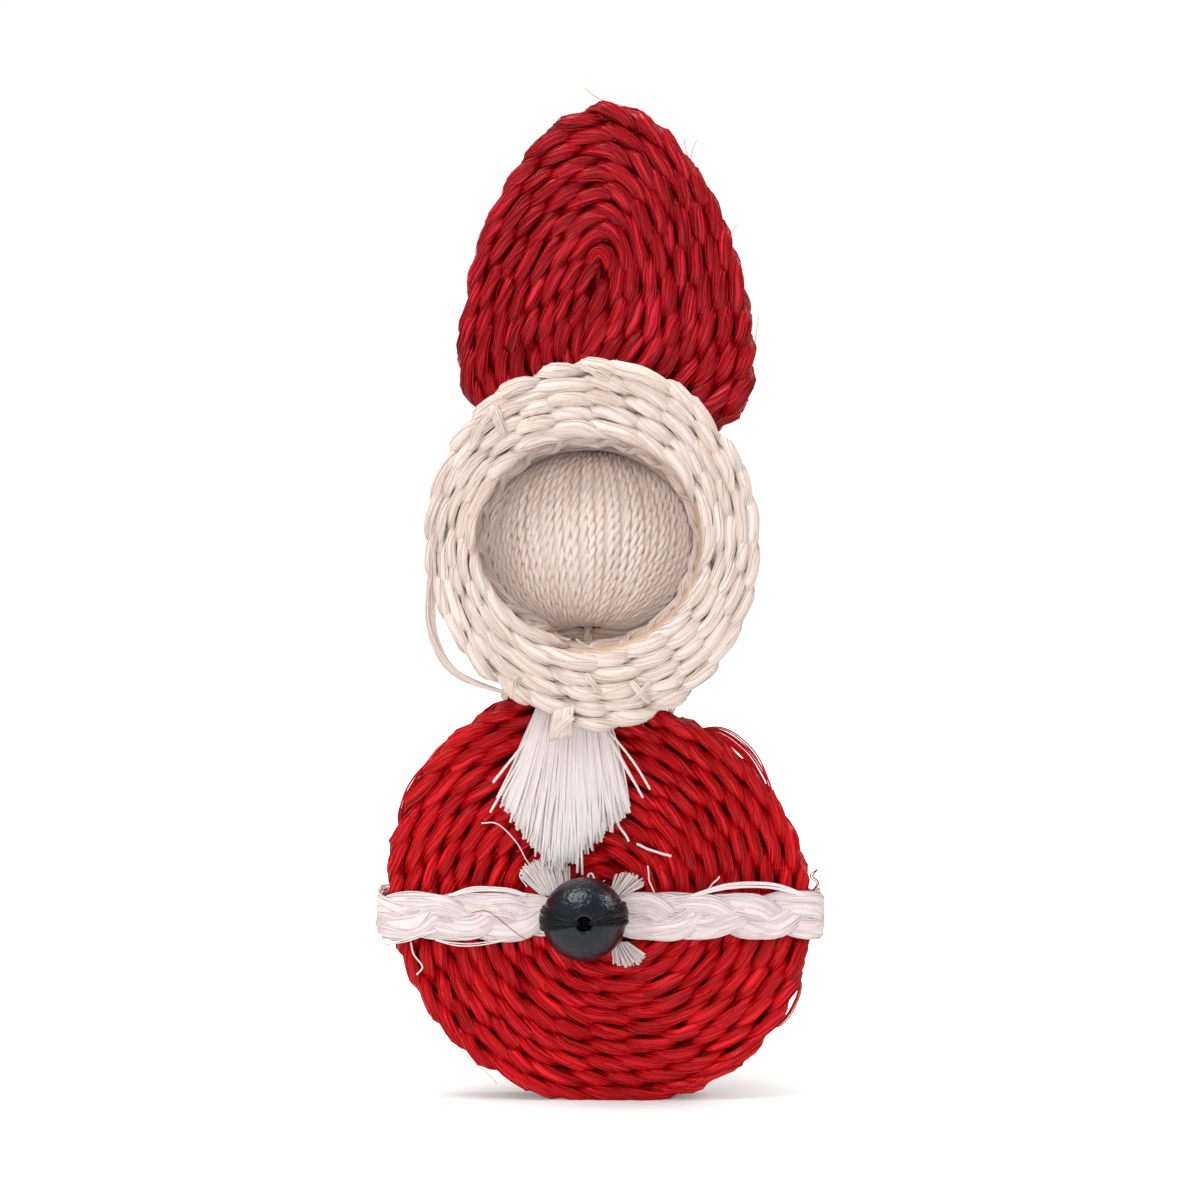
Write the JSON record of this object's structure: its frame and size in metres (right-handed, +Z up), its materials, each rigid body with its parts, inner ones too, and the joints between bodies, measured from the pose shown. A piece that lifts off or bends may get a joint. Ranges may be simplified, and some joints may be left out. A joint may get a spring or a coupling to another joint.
{
  "type": "plaited fibre figure",
  "caption": "Free-standing holiday figure of plaited plant fibre: coiled hat and body pads, ringed thread-wound ball face, bristle beard, plaited belt and bead button.",
  "frame": {"origin": "under the middle of the figure's bounding box, on the surface it stands on", "axes": "+Z up, the front faces -Y, +X to the viewer's right"},
  "size_m": [0.0652, 0.0392, 0.1431],
  "materials": {
    "red_fibre": "dyed plant fibre, silky",
    "cream_fibre": "undyed plant fibre, silky",
    "ecru_thread": "twisted two-ply thread",
    "white_fibre": "bleached plant fibre, silky",
    "core_wood": "plain turned wood",
    "bead_paint": "gloss paint on wood",
    "black_fibre": "dyed plant fibre"
  },
  "bodies": {
    "root": {"body_coil": "red_fibre", "hat_coil": "red_fibre", "head_coil": "cream_fibre", "face_holding_cord": "cream_fibre", "hat_lashing_left": "cream_fibre", "hat_lashing_right": "cream_fibre", "body_lashing_left": "cream_fibre", "body_lashing_right": "cream_fibre", "head_stitch_top": "cream_fibre", "head_stitch_upper_left": "cream_fibre", "head_stitch_bottom_centre": "cream_fibre", "head_stitch_bottom_right": "cream_fibre", "head_stitch_wrap": "cream_fibre", "face_winding": "ecru_thread", "beard_bristles": "white_fibre", "belt_braid": "white_fibre", "belt_tuft_upper_left": "white_fibre", "belt_tuft_upper_right": "white_fibre", "belt_tuft_lower_right": "white_fibre", "face_core": "core_wood", "button_bead": "bead_paint", "button_tie": "black_fibre"}
  },
  "joints": []
}
